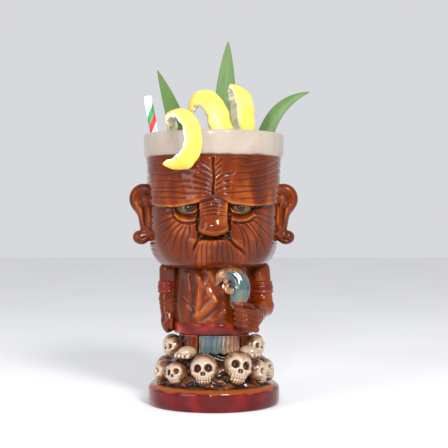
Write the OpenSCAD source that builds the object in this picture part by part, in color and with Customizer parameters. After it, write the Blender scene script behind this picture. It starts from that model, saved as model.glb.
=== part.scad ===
// Tiki mug: a glazed slip-cast cup shaped as a squat carved figure.
// Its head is the cup, and the body stands on a mound of small skulls.
// A straw, three curls of lemon peel and three leaves stand loose in the cup.
// +Z is up, the face looks along -Y, and the origin is the middle of the foot.

/* [Mug] */
// Height of the mug, from the foot to the lip
mug_h = 184; // [180:1:188]
// Outside diameter of the lip band
rim_d = 96.6; // [95:0.2:98]
// Height of the lip band
rim_h = 16.4; // [15:0.2:18]
// Wall of the lip band
rim_wall = 4.5; // [4:0.1:4.6]
// Outside diameter of the head just under the lip band
head_top_d = 93; // [92:0.5:94]
// Outside diameter of the head at the cheeks
head_low_d = 88; // [86:0.5:90]
// Wall of the head
head_wall = 4.6; // [4:0.1:5]
// Diameter of the nose
nose_d = 20; // [18:0.5:21]

/* [Body] */
// Height at which the head meets the shoulders
neck_z = 93.5; // [92:0.5:95]
// Diameter of the torso
torso_d = 53; // [51:0.5:54]
// Inside diameter of the neck and the torso
well_d = 43; // [40:0.5:44]
// Height of the belt's lower edge
belt_z = 48.5; // [48:0.5:50]
// Height of the belt
belt_h = 8; // [7:0.5:9]
// How far the belt stands out of the torso
belt_out = 1.4; // [1:0.1:2.5]
// Height of an arm band
band_h = 9; // [7:0.5:10]

/* [Mound] */
// Diameter of the foot disc
foot_d = 90.4; // [88:0.2:92]
// Height of the foot disc
foot_h = 14.5; // [13:0.5:15]
// Diameter of the recess under the foot disc
recess_d = 70; // [60:1:74]
// Depth of that recess
recess_h = 2; // [1:0.5:3]
// Diameter of the vent hole
vent_d = 3; // [2:0.5:3.5]

/* [Garnish] */
// Outside diameter of the straw
straw_d = 5.6; // [5:0.1:6]
// Wall of the straw
straw_wall = 0.5; // [0.4:0.1:0.8]
// Thickness of the lemon peel
peel_t = 4.5; // [3.5:0.1:4.6]
// Thickness of a leaf
leaf_t = 0.8; // [0.6:0.1:1]

/* [Hidden] */
$fn = 48;
SOFT_FN = 20;
FINE_FN = 240; // for a thin piece that is trimmed to the head's curve

rim_r = rim_d / 2;
rim_in_r = rim_r - rim_wall;
rim_z = mug_h - rim_h;
head_top_r = head_top_d / 2;
head_low_r = head_low_d / 2;
torso_r = torso_d / 2;
belt_r = torso_r + belt_out;
well_r = well_d / 2;
well_z = belt_z + 6;
cup_floor_z = neck_z + 7;
foot_r = foot_d / 2;
body_turn = 9; // the lower body is turned a little towards +X

// A skull is [angle from the front, middle's radius, foot's height, width, height].
LOWER_SKULLS = [
    [-10, 34.5, 17.2, 19, 20.6], [24, 34.5, 17, 19.4, 22.8], [57, 35, 15.8, 15, 17],
    [86, 35, 15.4, 15, 16], [118, 35, 15.4, 15.6, 16.4], [151, 35, 15.6, 17, 17.4],
    [185, 34.5, 15.8, 18, 18], [-141, 35, 15.6, 17.4, 17.4], [-108, 35, 15.4, 16, 16.4],
    [-75, 35, 15.2, 15, 16], [-43, 35, 16, 14.6, 15.6]
];
UPPER_SKULLS = [
    [-67, 32, 33.8, 13, 13], [66, 32, 35, 13.4, 13], [103, 31.5, 34, 12.6, 13],
    [141, 31.5, 34.2, 13, 13], [180, 31.5, 34.2, 13, 13], [-142, 31.5, 34.2, 13, 13],
    [-104, 31.5, 34, 12.6, 13]
];

// ---- helpers ----

// A point at an angle from the front, positive towards +X.
function around(angle, r, z) = [r * sin(angle), -r * cos(angle), z];

function bezier(p, t) =
    p[0] * pow(1 - t, 3) + p[1] * 3 * t * pow(1 - t, 2)
    + p[2] * 3 * t * t * (1 - t) + p[3] * pow(t, 3);

// Points along Bezier spans that share their ends: 4 points, then 3 more for each further span.
function path(p, per_span) = [
    for (s = [0 : (len(p) - 4) / 3]) for (i = [(s == 0 ? 0 : 1) : per_span])
        bezier([p[3 * s], p[3 * s + 1], p[3 * s + 2], p[3 * s + 3]], i / per_span)
];

function unit(v) = v / norm(v);

function tangent(p, i) = unit(p[min(i + 1, len(p) - 1)] - p[max(i - 1, 0)]);

// A band's cross-section: 3 points on its outer face and 3 on its inner face, bowed by `bow`.
function band_ring(p, i, across, w, t, bow) =
    let (d = tangent(p, i), s = unit(across - d * (across * d)), n = cross(s, d), h = w / 2)
    [for (k = [[-h, -bow], [0, 0], [h, -bow], [h, -bow - t], [0, -t], [-h, -bow - t]])
        p[i] + s * k[0] + n * k[1]];

// A closed band that follows the points p; `across[i]` is the direction of its width there.
module band(p, across, widths, t, bow) {
    rings = [for (i = [0 : len(p) - 1]) band_ring(p, i, across[i], widths[i], t, bow * widths[i])];
    m = 6;
    last = len(p) - 1;
    sides = [
        for (i = [0 : last - 1]) for (k = [0 : m - 1]) each [
            [i * m + k, (i + 1) * m + k, i * m + (k + 1) % m],
            [i * m + (k + 1) % m, (i + 1) * m + k, (i + 1) * m + (k + 1) % m]
        ]
    ];
    ends = [[0, 1, 5], [1, 4, 5], [1, 2, 4], [2, 3, 4]];
    caps = concat(ends, [for (f = ends) [last * m + f[2], last * m + f[1], last * m + f[0]]]);
    polyhedron(points = [for (r = rings) each r], faces = concat(sides, caps));
}

// A rounded bar through points [x, y, z, radius].
module limb(p) {
    for (i = [0 : len(p) - 2]) hull() for (k = [i, i + 1])
        translate([p[k][0], p[k][1], p[k][2]]) sphere(r = p[k][3], $fn = SOFT_FN);
}

// ---- envelopes that the applied pieces are trimmed against ----

module head_outline() {
    polygon([
        [0, rim_z], [head_top_r, rim_z], [head_top_r - 0.4, mug_h - 27],
        [head_low_r + 0.6, neck_z + 38], [head_low_r, neck_z + 20], [head_low_r - 0.8, neck_z + 14],
        [head_low_r - 2.4, neck_z + 9], [head_low_r - 5.4, neck_z + 4], [head_low_r - 9.5, neck_z + 1],
        [head_low_r - 13, neck_z], [0, neck_z]
    ]);
}

module head_envelope() rotate_extrude() head_outline();

module torso_envelope() translate([0, 0, belt_z]) cylinder(r = torso_r, h = neck_z - belt_z);

module mound_envelope() {
    rotate_extrude() polygon([
        [0, foot_h], [38, foot_h], [35.5, foot_h + 5], [31.5, foot_h + 11],
        [27.5, foot_h + 18], [24.8, foot_h + 24], [23.6, belt_z], [0, belt_z]
    ]);
}

// ---- the cup ----

module rim_band() {
    color("antiquewhite") rotate_extrude() polygon([
        [rim_in_r, rim_z], [rim_r - 1.2, rim_z], [rim_r - 0.2, rim_z + 1.4], [rim_r, rim_z + 4],
        [rim_r, mug_h - 2.4], [rim_r - 0.8, mug_h - 0.7], [rim_r - 2, mug_h],
        [rim_in_r + 1, mug_h], [rim_in_r, mug_h - 1.2]
    ]);
}

module cup_hollow() {
    rotate_extrude() polygon([
        [0, rim_z + 1], [rim_in_r, rim_z + 1], [rim_in_r, rim_z - 2], [head_top_r - head_wall, rim_z - 14],
        [head_low_r + 0.6 - head_wall, neck_z + 38], [head_low_r - head_wall, cup_floor_z + 9],
        [head_low_r - head_wall - 3, cup_floor_z + 3], [head_low_r - head_wall - 8, cup_floor_z],
        [well_r + 1.5, cup_floor_z - 1], [well_r, cup_floor_z - 3], [well_r, neck_z - 1], [0, neck_z - 1]
    ]);
}

module head_shell() {
    color("saddlebrown") difference() {
        union() {
            head_envelope();
            translate([0, -(head_low_r + 8 - nose_d / 2), 126]) sphere(d = nose_d);
        }
        cup_hollow();
    }
}

// side is 1 for the ear at +X and -1 for the ear at -X
module ear(side) {
    color("sienna") mirror([side < 0 ? 1 : 0, 0, 0]) difference() {
        translate([0, 6, 0]) rotate([90, 0, 0]) linear_extrude(10) {
            hull() {
                translate([48.5, 140]) circle(r = 9.6, $fn = 32);
                translate([43, 122]) circle(r = 5, $fn = 32);
            }
            hull() {
                translate([51.2, 113.4]) circle(r = 4.7, $fn = 32);
                translate([44, 114]) circle(r = 5, $fn = 32);
            }
            translate([40, 112]) square([8, 22]);
        }
        head_envelope();
    }
}

module eye(side) {
    color("darkkhaki") difference() {
        translate(around(side * 22.5, 40.5, 133.4)) sphere(d = 12);
        head_envelope($fn = FINE_FN);
    }
}

// ---- the body ----

module torso_shell() {
    color("saddlebrown") difference() {
        torso_envelope();
        translate([0, 0, well_z]) cylinder(r = well_r, h = neck_z);
    }
}

module belt() {
    color("firebrick") rotate_extrude() polygon([
        [torso_r, belt_z], [belt_r - 0.8, belt_z], [belt_r, belt_z + 1.6], [belt_r, belt_z + belt_h - 2.4],
        [belt_r - 0.8, belt_z + belt_h - 0.6], [torso_r, belt_z + belt_h]
    ]);
}

RIGHT_ARM = [[-31.5, 0.5, 87.2, 6], [-32.2, 1, 68, 4.9], [-31.4, -1.5, 56, 4.2], [-30.6, -4.5, 51.4, 4.6]];
LEFT_ARM = [[32.5, 0.5, 86.6, 6.6], [34.4, -4, 65.6, 6.8], [26, -22.5, 59.6, 6.2], [19, -29, 60, 7.4]];

module arm_solid(p) {
    difference() {
        limb(p);
        torso_envelope();
        head_envelope();
        belt();
    }
}

module arm_right() {
    color("saddlebrown") arm_solid(RIGHT_ARM);
}

module arm_left() {
    color("saddlebrown") arm_solid(LEFT_ARM);
}

module armband(p, r) {
    color("crimson") difference() {
        translate([(p[0][0] + p[1][0]) / 2, (p[0][1] + p[1][1]) / 2, 75]) cylinder(r = r, h = band_h);
        limb(p);
        torso_envelope();
    }
}

module crook() {
    color("steelblue") difference() {
        limb([[3.6, -28.6, 84.6, 1.8], [6, -29, 89.4, 3], [12.4, -29.4, 90.6, 3.4],
              [17.6, -29.4, 85.6, 4.2], [17.4, -30, 77.4, 5], [15.6, -29.6, 70, 3.2]]);
        torso_envelope();
        limb(LEFT_ARM);
        head_envelope();
    }
}

module loincloth() {
    color("cadetblue") difference() {
        rotate([0, 0, -90 + body_turn - 30]) rotate_extrude(angle = 60)
            translate([23, belt_z - 12.8]) square([5, 12.8]);
        mound_envelope();
        for (s = LOWER_SKULLS) skull_solid(s);
    }
}

module leg(side) {
    color("saddlebrown") difference() {
        translate(around(body_turn + side * 45, 21.6, belt_z - 11.5)) cylinder(r = 6.6, h = 11.5);
        mound_envelope();
        loincloth();
        foot(side);
        for (s = UPPER_SKULLS) skull_solid(s);
    }
}

module foot(side) {
    color("wheat") difference() {
        translate(around(body_turn + side * (side > 0 ? 43 : 45), 33, belt_z - 12))
            rotate([0, 0, body_turn + side * 43]) intersection() {
                translate([0, 5, 0]) sphere(d = 20);
                translate([-6, -12, -3.6]) cube([12, 20, 7.4]);
            }
        mound_envelope();
        for (s = LOWER_SKULLS) skull_solid(s);
        for (s = UPPER_SKULLS) skull_solid(s);
    }
}

// ---- the mound ----

module mound_core() {
    color("#33190c") difference() {
        mound_envelope();
        translate([0, 0, foot_h - 1]) cylinder(r1 = 31, r2 = 18, h = belt_z - foot_h - 4);
    }
}

module foot_disc() {
    color("maroon") difference() {
        rotate_extrude() polygon([
            [0, 0], [foot_r - 2.2, 0], [foot_r - 0.7, 0.8], [foot_r, 2.6], [foot_r, foot_h - 4],
            [foot_r - 0.9, foot_h - 1.6], [foot_r - 3, foot_h - 0.2], [foot_r - 4.4, foot_h], [0, foot_h]
        ]);
        translate([0, 0, -1]) cylinder(d = recess_d, h = recess_h + 1);
        translate([0, 0, -1]) cylinder(d = vent_d, h = foot_h + 2, $fn = 24);
    }
}

module skull_solid(s) {
    r = s[3] / 2;
    translate(around(s[0], s[1], s[2])) rotate([0, 0, s[0]]) {
        translate([0, 0, s[4] - r]) sphere(r = r);
        translate([0, -r * 0.25, 0]) cylinder(r1 = r * 0.52, r2 = r * 0.68, h = s[4] - r);
    }
}

module skull(s) {
    r = s[3] / 2;
    color("wheat") difference() {
        skull_solid(s);
        for (side = [-1, 1]) translate(around(s[0], s[1], s[2])) rotate([0, 0, s[0]])
            translate([side * r * 0.4, -r * 0.95, s[4] - r * 1.25]) sphere(r = r * 0.25, $fn = 24);
        mound_envelope();
    }
}

// ---- the garnish ----

STRAW_FOOT = [-24.4, -3, cup_floor_z + 0.9];
STRAW_TOP = [-45.4, -3, 210];

module straw() {
    along = STRAW_TOP - STRAW_FOOT;
    color("white") translate(STRAW_FOOT) rotate([0, -atan2(-along[0], along[2]), 0]) difference() {
        cylinder(d = straw_d, h = norm(along));
        translate([0, 0, -1]) cylinder(d = straw_d - 2 * straw_wall, h = norm(along) + 2);
    }
}

// The curls' and leaves' widths taper at their ends.
function tapered(n, full, start, end) =
    [for (i = [0 : n - 1]) let (t = i / (n - 1)) full * min(1, start + 5 * t, end + 5 * (1 - t))];

PEEL_FRONT = [
    [-27, -15, 177], [-32, -20, 187], [-31.5, -28, 198], [-25, -39, 197.8],
    [-17, -51, 197.5], [-10.5, -57.5, 188], [-11, -60, 175],
    [-12, -62, 162], [-21, -60.5, 156], [-32.5, -54.5, 160.5]
];
PEEL_MIDDLE = [
    [-12, 24, 101.4], [-12.4, 24, 130], [-13.5, 21, 158], [-15.5, 12, 182],
    [-21, 2, 202], [-17.5, -3, 211.5], [-8, -8, 210.5], [1.5, -13, 209.5], [6.5, -17, 194], [6.5, -19, 176]
];
PEEL_RIGHT = [
    [18, 21, 101.4], [18, 21, 130], [19, 20, 160], [19.5, 15, 184],
    [20, 11, 200], [15.5, 6, 216.5], [17.5, -2, 217], [20.5, -9, 217.5], [24.5, -15, 207], [24.5, -15, 176]
];
PER_SPAN = 7;

// A curl turns clockwise about its hub, seen from the side that `flank` points to. Its rind
// faces away from the hub, and `lean` tips the rind towards the flank.
module peel(p, hub, flank, lean, full, ends) {
    line = path(p, PER_SPAN);
    n = len(line);
    across = [for (q = line) unit(flank) * cos(lean) - unit(q - hub) * sin(lean)];
    color("gold") band(line, across, tapered(n, full, ends[0], ends[1]), peel_t, 0.08);
}

module peel_front() peel(PEEL_FRONT, [-25, -52, 176], [-0.35, -0.9, 0.15], 25, 14, [0.6, 0.3]);

module peel_middle() peel(PEEL_MIDDLE, [-7, -8, 184], [-0.35, -0.94, 0], 45, 16, [0.5, 0.7]);

module peel_right() peel(PEEL_RIGHT, [20, 0, 190], [-0.97, -0.25, 0], -24, 13.5, [0.55, 0.7]);

LEAF_LEFT = [[-10, 30, 103.2], [-10, 34, 140], [-19, 31, 182], [-39.4, 15, 230.4]];
LEAF_MIDDLE = [[5, 27, 101.8], [6, 31, 150], [7, 30, 200], [10.4, 26, 252.6]];
LEAF_RIGHT = [[24, 4, 101.8], [26, 5, 170], [34, 5, 208], [66, 2, 213.8]];
LEAF_STEPS = 14;

// widths is [at the foot, at the widest, share of the length where it is widest]
module leaf(p, across, widths) {
    line = path(p, LEAF_STEPS);
    n = len(line);
    w = [for (i = [0 : n - 1]) let (t = i / (n - 1), peak = widths[2])
        t < peak ? widths[0] + (widths[1] - widths[0]) * sin(90 * t / peak)
                 : max(1, widths[1] * pow(cos(90 * (t - peak) / (1 - peak)), 0.75))];
    color("olivedrab") band(line, [for (i = [0 : n - 1]) across], w, leaf_t, 0.14);
}

module leaf_left() leaf(LEAF_LEFT, [1, 0.1, 0.35], [8, 15, 0.62]);

module leaf_middle() leaf(LEAF_MIDDLE, [1, -0.1, 0], [9, 15.5, 0.68]);

module leaf_right() leaf(LEAF_RIGHT, [0.8, -0.4, -0.5], [8, 12, 0.5]);

// ---- the nodes ----

rim_band();
head_shell();
ear(1);  // ear_left
ear(-1);  // ear_right
eye(1);  // eye_left
eye(-1);  // eye_right
torso_shell();
belt();
arm_left();
arm_right();
armband(LEFT_ARM, 8);  // armband_left
armband(RIGHT_ARM, 7);  // armband_right
crook();
loincloth();
leg(1);  // leg_left
leg(-1);  // leg_right
foot(1);  // foot_left
foot(-1);  // foot_right
mound_core();
foot_disc();
straw();
peel_front();
peel_middle();
peel_right();
leaf_left();
leaf_middle();
leaf_right();
for (i = [0 : len(LOWER_SKULLS) - 1])
    skull(LOWER_SKULLS[i]);
for (i = [0 : len(UPPER_SKULLS) - 1])
    skull(UPPER_SKULLS[i]);
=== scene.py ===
"""Tiki mug: a glazed cup carved as a squat figure on a mound of skulls, with its garnish."""
import math
from functools import partial

import bpy
import numpy as np
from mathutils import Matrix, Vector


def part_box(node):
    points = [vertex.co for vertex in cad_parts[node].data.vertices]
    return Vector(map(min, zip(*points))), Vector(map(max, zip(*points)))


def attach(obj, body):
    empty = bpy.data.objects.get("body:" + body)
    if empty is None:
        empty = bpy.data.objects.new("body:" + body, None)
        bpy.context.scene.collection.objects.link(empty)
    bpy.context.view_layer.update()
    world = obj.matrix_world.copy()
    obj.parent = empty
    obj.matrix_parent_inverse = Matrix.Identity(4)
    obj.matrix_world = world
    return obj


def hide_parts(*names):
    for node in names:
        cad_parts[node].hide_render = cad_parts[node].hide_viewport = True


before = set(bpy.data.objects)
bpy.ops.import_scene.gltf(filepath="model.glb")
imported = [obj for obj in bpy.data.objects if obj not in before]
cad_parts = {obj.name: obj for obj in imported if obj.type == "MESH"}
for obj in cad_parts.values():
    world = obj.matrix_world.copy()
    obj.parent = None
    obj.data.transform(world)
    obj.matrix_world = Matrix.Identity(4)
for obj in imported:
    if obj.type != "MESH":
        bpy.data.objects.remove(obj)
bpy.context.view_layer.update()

import openvdb
from mathutils import Vector

# Everything below is in millimetres, in the CAD model's frame, until build() makes a mesh.
# The figure faces -Y, and its left side is towards +X.
MM = 0.001


def span(node):
    """The lowest and highest corners of a CAD node, in millimetres."""
    low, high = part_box(node)
    return np.array(low) / MM, np.array(high) / MM


def turned_size(node):
    """The radius, the bottom and the top of a CAD node that is turned about Z."""
    low, high = span(node)
    return high[0], low[2], high[2]


RIM_R, RIM_Z, LIP_Z = turned_size("rim_band")
TORSO_R, _, NECK_Z = turned_size("torso_shell")
BELT_R, BELT_Z, BELT_TOP_Z = turned_size("belt")
DISC_R, _, DISC_Z = turned_size("foot_disc")

WALL = 4.5
CHEEK_R = 44.0
TEMPLE_R = 46.5
# The front view of the face is wrapped round this radius.
FACE_R = 44.5
CUP_R = 39.4
CUP_FLOOR_Z = NECK_Z + 7
WELL_R = 21.5
WELL_Z = BELT_Z + 6
# Outlines that close on the axis stop this far from it.
AXIS_R = 0.02
# The legs and the loincloth face a little towards +X.
BODY_TURN = math.radians(9)


# ---- numbers ----

def smooth(low, high, x):
    """0 below low and 1 above high, with a soft turn between them."""
    t = np.clip((x - low) / (high - low), 0, 1)
    return t * t * (3 - 2 * t)


def hump(x, width):
    """1 where x is 0, falling away to 0 on both sides."""
    return np.exp(-(x / width) ** 2)


def ripple(p, size, seed):
    """Soft irregular swells about `size` across, mostly within -1 and 1."""
    rng = np.random.default_rng(seed)
    waves = 7
    total = np.zeros(p.shape[:-1])
    for _ in range(waves):
        push = rng.normal(size=p.shape[-1])
        push *= 2 * np.pi / size * rng.uniform(0.6, 1.3) / np.linalg.norm(push)
        total += np.sin(p @ push + rng.uniform(0, 2 * np.pi))
    return total / math.sqrt(waves)


def stacked(*parts):
    """Grids of coordinates that broadcast together, as one grid of points."""
    return np.stack(np.broadcast_arrays(*parts), -1)


def unit(vectors):
    """The same directions, one long."""
    return vectors / np.linalg.norm(vectors, axis=-1, keepdims=True)


def curve(points, per_span=8):
    """Points along a smooth curve through the given ones."""
    p = np.array(points, float)
    p = np.vstack([2 * p[0] - p[1], p, 2 * p[-1] - p[-2]])
    t = np.linspace(0, 1, per_span, endpoint=False)[:, None]
    spans = []
    for a, b, c, d in zip(p, p[1:], p[2:], p[3:]):
        bend = (2 * a - 5 * b + 4 * c - d) * t ** 2 + (3 * b - a - 3 * c + d) * t ** 3
        spans.append(0.5 * (2 * b + (c - a) * t + bend))
    return np.vstack(spans + [p[-2:-1]])


def distance_to(points, u, v, reach):
    """Distance from each (u, v) to a curve through the points, and how far along it is, from 0 to 1."""
    line = curve(points) if len(points) > 2 else np.array(points, float)
    distance = np.full(u.shape, 1e3)
    along = np.zeros(u.shape)
    low, high = line.min(0) - reach, line.max(0) + reach
    near = (u > low[0]) & (u < high[0]) & (v > low[1]) & (v < high[1])
    q = np.stack([u[near], v[near]], -1)
    best = distance[near]
    place = along[near]
    for i, (a, b) in enumerate(zip(line, line[1:])):
        t = np.clip((q - a) @ (b - a) / max((b - a) @ (b - a), 1e-9), 0, 1)
        d = np.linalg.norm(q - a - t[:, None] * (b - a), axis=1)
        closer = d < best
        best[closer] = d[closer]
        place[closer] = (i + t[closer]) / (len(line) - 1)
    distance[near] = best
    along[near] = place
    return distance, along


def line_cut(u, v, points, width, fade=(0.15, 0.25)):
    """How deep a carved line is at each (u, v), from 0 to 1. It runs out at its two ends."""
    d, s = distance_to(points, u, v, 4 * width)
    ends = smooth(0, fade[0], s + 1e-3) * smooth(0, fade[1], 1 - s + 1e-3)
    return np.exp(-(d / width) ** 1.6) * ends


def soften(h, rounds):
    """A blurred copy of a grid of heights whose first axis wraps round."""
    for _ in range(rounds):
        h = (np.roll(h, 1, 0) + 2 * h + np.roll(h, -1, 0)) / 4
        e = np.pad(h, ((0, 0), (1, 1)), mode="edge")
        h = (e[:, :-2] + 2 * h + e[:, 2:]) / 4
    return h


# ---- solids given by their signed distance, over a grid p of points ----

def ball(p, centre, r):
    return np.linalg.norm(p - np.array(centre, np.float32), axis=-1) - r


def egg(p, centre, radii):
    """An ellipsoid with its axes along X, Y and Z."""
    q = p - np.array(centre, np.float32)
    radii = np.array(radii, np.float32)
    k = np.linalg.norm(q / radii, axis=-1)
    return k * (k - 1) / np.maximum(np.linalg.norm(q / radii ** 2, axis=-1), 1e-6)


def rod(p, a, b, ra, rb=None):
    """A round-ended rod from a to b whose radius runs from ra to rb."""
    a, b = np.array(a, np.float32), np.array(b, np.float32)
    rb = ra if rb is None else rb
    t = np.clip((p - a) @ (b - a) / ((b - a) @ (b - a)), 0, 1)
    return np.linalg.norm(p - a - t[..., None] * (b - a), axis=-1) - (ra + (rb - ra) * t)


def join(a, b, k):
    """The two solids together, with a fillet of about k between them."""
    h = np.clip(0.5 + 0.5 * (b - a) / k, 0, 1)
    return b + (a - b) * h - k * h * (1 - h)


def keep(a, b, k):
    """What the two solids share, with a rounded edge."""
    return -join(-a, -b, k)


def cut(a, b, k):
    """The first solid without the second, with a rounded edge."""
    return keep(a, -b, k)


def chain(p, points, k):
    """A limb through points [x, y, z, radius], blended at its joints."""
    total = None
    for a, b in zip(points, points[1:]):
        part = rod(p, a[:3], b[:3], a[3], b[3])
        total = part if total is None else join(total, part, k)
    return total


def turned(p, centre, spin, tip=0.0, roll=0.0):
    """Points in a frame whose origin is centre: spun about Z, then tipped about X and rolled about Y."""
    x, y, z = np.moveaxis(p - np.array(centre, np.float32), -1, 0)
    c, s = math.cos(spin), math.sin(spin)
    x, y = x * c + y * s, y * c - x * s
    c, s = math.cos(tip), math.sin(tip)
    y, z = y * c + z * s, z * c - y * s
    c, s = math.cos(roll), math.sin(roll)
    return np.stack([x * c - z * s, y, z * c + x * s], -1)


def gradient(field, p):
    """The direction in which a field grows fastest at each point."""
    moves = np.eye(3, dtype=np.float32) * 0.05
    g = np.stack([field(p + m) - field(p - m) for m in moves], -1)
    return g / np.maximum(np.linalg.norm(g, axis=-1, keepdims=True), 1e-9)


def skin(field, low, high, step):
    """The surface where field is 0, as points and quads, with how hollow it is at each point."""
    axes = [np.arange(a, b + step, step, dtype=np.float32) for a, b in zip(low, high)]
    values = field(np.stack(np.meshgrid(*axes, indexing="ij"), -1)).astype(np.float32)
    grid = openvdb.FloatGrid(step)
    grid.copyFromArray(values)
    points, _, quads = grid.convertToPolygons(isovalue=0.0, adaptivity=0.0)
    points = (points * step + low).astype(np.float32)
    points = points - gradient(field, points) * np.clip(field(points), -step, step)[:, None]
    reach = 1.1
    outward = gradient(field, points) * reach
    hollow = (reach - field(points + outward)) / reach
    ridge = (field(points - outward) + reach) / reach
    return points, quads[:, ::-1], np.clip(hollow - ridge, -1, 1)


# ---- meshes ----

def build(name, points, faces, look, node, marks, body="mug"):
    """Makes a smooth-shaded object in metres, which rides on a body and replaces a CAD node."""
    material, slot = look
    points = np.asarray(points).reshape(-1, 3) * MM
    faces = np.asarray(faces, np.int32)
    mesh = bpy.data.meshes.new(name)
    mesh.vertices.add(len(points))
    mesh.vertices.foreach_set("co", points.astype(np.float32).ravel())
    mesh.loops.add(faces.size)
    mesh.loops.foreach_set("vertex_index", faces.ravel())
    mesh.polygons.add(len(faces))
    mesh.polygons.foreach_set("loop_start", np.arange(0, faces.size, faces.shape[1], dtype=np.int32))
    for key, values in marks.items():
        layer = mesh.attributes.new(key, "FLOAT", "POINT")
        layer.data.foreach_set("value", np.asarray(values, np.float32).ravel())
    mesh.update(calc_edges=True)
    mesh.validate()
    mesh.shade_smooth()
    mesh.materials.append(material)
    piece = bpy.data.objects.new(name, mesh)
    bpy.context.scene.collection.objects.link(piece)
    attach(piece, body)
    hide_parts(node)


def grid_faces(columns, rows, closed=True):
    """Quads over points stored column by column. Each column is a ring, and so may the columns be."""
    last = columns if closed else columns - 1
    i, j = np.meshgrid(np.arange(last), np.arange(rows), indexing="ij")
    a = i * rows + j
    b = (i + 1) % columns * rows + j
    c = (i + 1) % columns * rows + (j + 1) % rows
    d = i * rows + (j + 1) % rows
    return np.stack([a, b, c, d], -1).reshape(-1, 4)


def around(angles, r, z):
    """Points at each angle from the front; r and z are grids of angle by row, or single rows."""
    turn = np.asarray(angles)[:, None]
    return stacked(r * np.sin(turn), -r * np.cos(turn), z)


def full_turn(count):
    """Angles from the back round to the back."""
    return np.linspace(-np.pi, np.pi, count, endpoint=False)


def rounded(points, corner, steps=6):
    """A closed outline of (r, z) points with each corner rounded."""
    p = np.array(points, float)
    out = []
    for a, b, c in zip(np.roll(p, 1, 0), p, np.roll(p, -1, 0)):
        size = min(corner, np.linalg.norm(a - b) / 2.2, np.linalg.norm(c - b) / 2.2)
        start = b + unit(a - b) * size
        end = b + unit(c - b) * size
        for t in np.linspace(0, 1, steps):
            out.append((1 - t) ** 2 * start + 2 * t * (1 - t) * b + t * t * end)
    return np.array(out)


def resampled(outline, step):
    """A closed outline with extra points so that no side is longer than step."""
    out = []
    for a, b in zip(outline, np.roll(outline, -1, 0)):
        count = max(1, int(np.ceil(np.linalg.norm(b - a) / step)))
        out += [a + (b - a) * i / count for i in range(count)]
    return np.array(out)


# ---- materials ----

def plug(tree, node, inputs):
    """Links or sets each named input of a node."""
    for key, value in inputs.items():
        if isinstance(value, bpy.types.NodeSocket):
            tree.links.new(value, node.inputs[key])
        else:
            node.inputs[key].default_value = value


def painted(name, paint, *settings):
    """A material whose shader's inputs are what the paint function returns."""
    material = bpy.data.materials.new(name)
    material.use_nodes = True
    tree = material.node_tree
    plug(tree, tree.nodes["Principled BSDF"], paint(tree, *settings))
    return material


def add(tree, kind, inputs=None, **settings):
    node = tree.nodes.new(kind)
    for key, value in settings.items():
        setattr(node, key, value)
    plug(tree, node, inputs or {})
    return node


def mark(tree, name):
    """A value that build() stored at each point of the mesh."""
    return add(tree, "ShaderNodeAttribute", attribute_name=name).outputs["Fac"]


def noise(tree, scale, detail=4.0, distortion=0.0, stretch=(1, 1, 1)):
    place = add(tree, "ShaderNodeTexCoord").outputs["Object"]
    spread = add(tree, "ShaderNodeMapping", {"Vector": place, "Scale": stretch}).outputs[0]
    inputs = {"Vector": spread, "Scale": scale, "Detail": detail, "Distortion": distortion}
    return add(tree, "ShaderNodeTexNoise", inputs).outputs["Fac"]


def ramp(tree, value, *stops):
    """A colour or grey ramp; stops are (place, colour or grey)."""
    node = add(tree, "ShaderNodeValToRGB", {"Fac": value})
    elements = node.color_ramp.elements
    while len(elements) < len(stops):
        elements.new(0.5)
    for element, (place, colour) in zip(elements, stops):
        element.position = place
        element.color = (*np.broadcast_to(colour, 3), 1)
    return node.outputs["Color"]


def mix(tree, factor, a, b):
    """From colour a to b as the factor goes from 0 to 1; b may be a fixed colour."""
    b = b if isinstance(b, bpy.types.NodeSocket) else (*b, 1)
    return add(tree, "ShaderNodeMix", {0: factor, 6: a, 7: b}, data_type="RGBA").outputs[2]


def maths(tree, operation, *values, clamp=False):
    inputs = dict(enumerate(values))
    return add(tree, "ShaderNodeMath", inputs, operation=operation, use_clamp=clamp).outputs[0]


def bump(tree, height, strength, distance):
    inputs = {"Height": height, "Strength": strength, "Distance": distance}
    return add(tree, "ShaderNodeBump", inputs).outputs[0]


def glaze(tree, thin, body, deep, roughness, streaks):
    """Glossy glaze: light where it thins over edges, dark where it pools in carved lines. On the head the
    hollow mark also carries painted shade in broad hollows and a little painted light on broad raised forms.
    """
    cloud = noise(tree, 70, 5, 0.6, (1, 1, 0.45))
    drift = maths(tree, "MULTIPLY_ADD", cloud, streaks, 0.5 - 0.5 * streaks)
    depth = maths(tree, "MULTIPLY_ADD", mark(tree, "hollow"), 0.5, drift, clamp=True)
    dim = tuple(0.58 * value for value in body)
    return {
        "Base Color": ramp(tree, depth, (0.12, thin), (0.42, body), (0.6, dim), (0.95, deep)),
        "Roughness": ramp(tree, noise(tree, 420, 3, 0.2), (0.3, roughness), (0.8, 1.9 * roughness)),
        "Specular IOR Level": 0.04,
        "Coat Weight": 1.0,
        "Coat Roughness": 0.035,
        "Coat IOR": 1.3,
        "Normal": bump(tree, noise(tree, 260, 2), 0.12, 0.0004),
    }


def eye_glaze(tree):
    """Dull olive brown with a near black iris."""
    olive = ramp(tree, noise(tree, 300, 3), (0.35, (0.045, 0.026, 0.008)), (0.7, (0.11, 0.068, 0.024)))
    return {
        "Base Color": mix(tree, mark(tree, "iris"), olive, (0.012, 0.006, 0.003)),
        "Roughness": 0.12,
        "Specular IOR Level": 0.3,
    }


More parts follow.
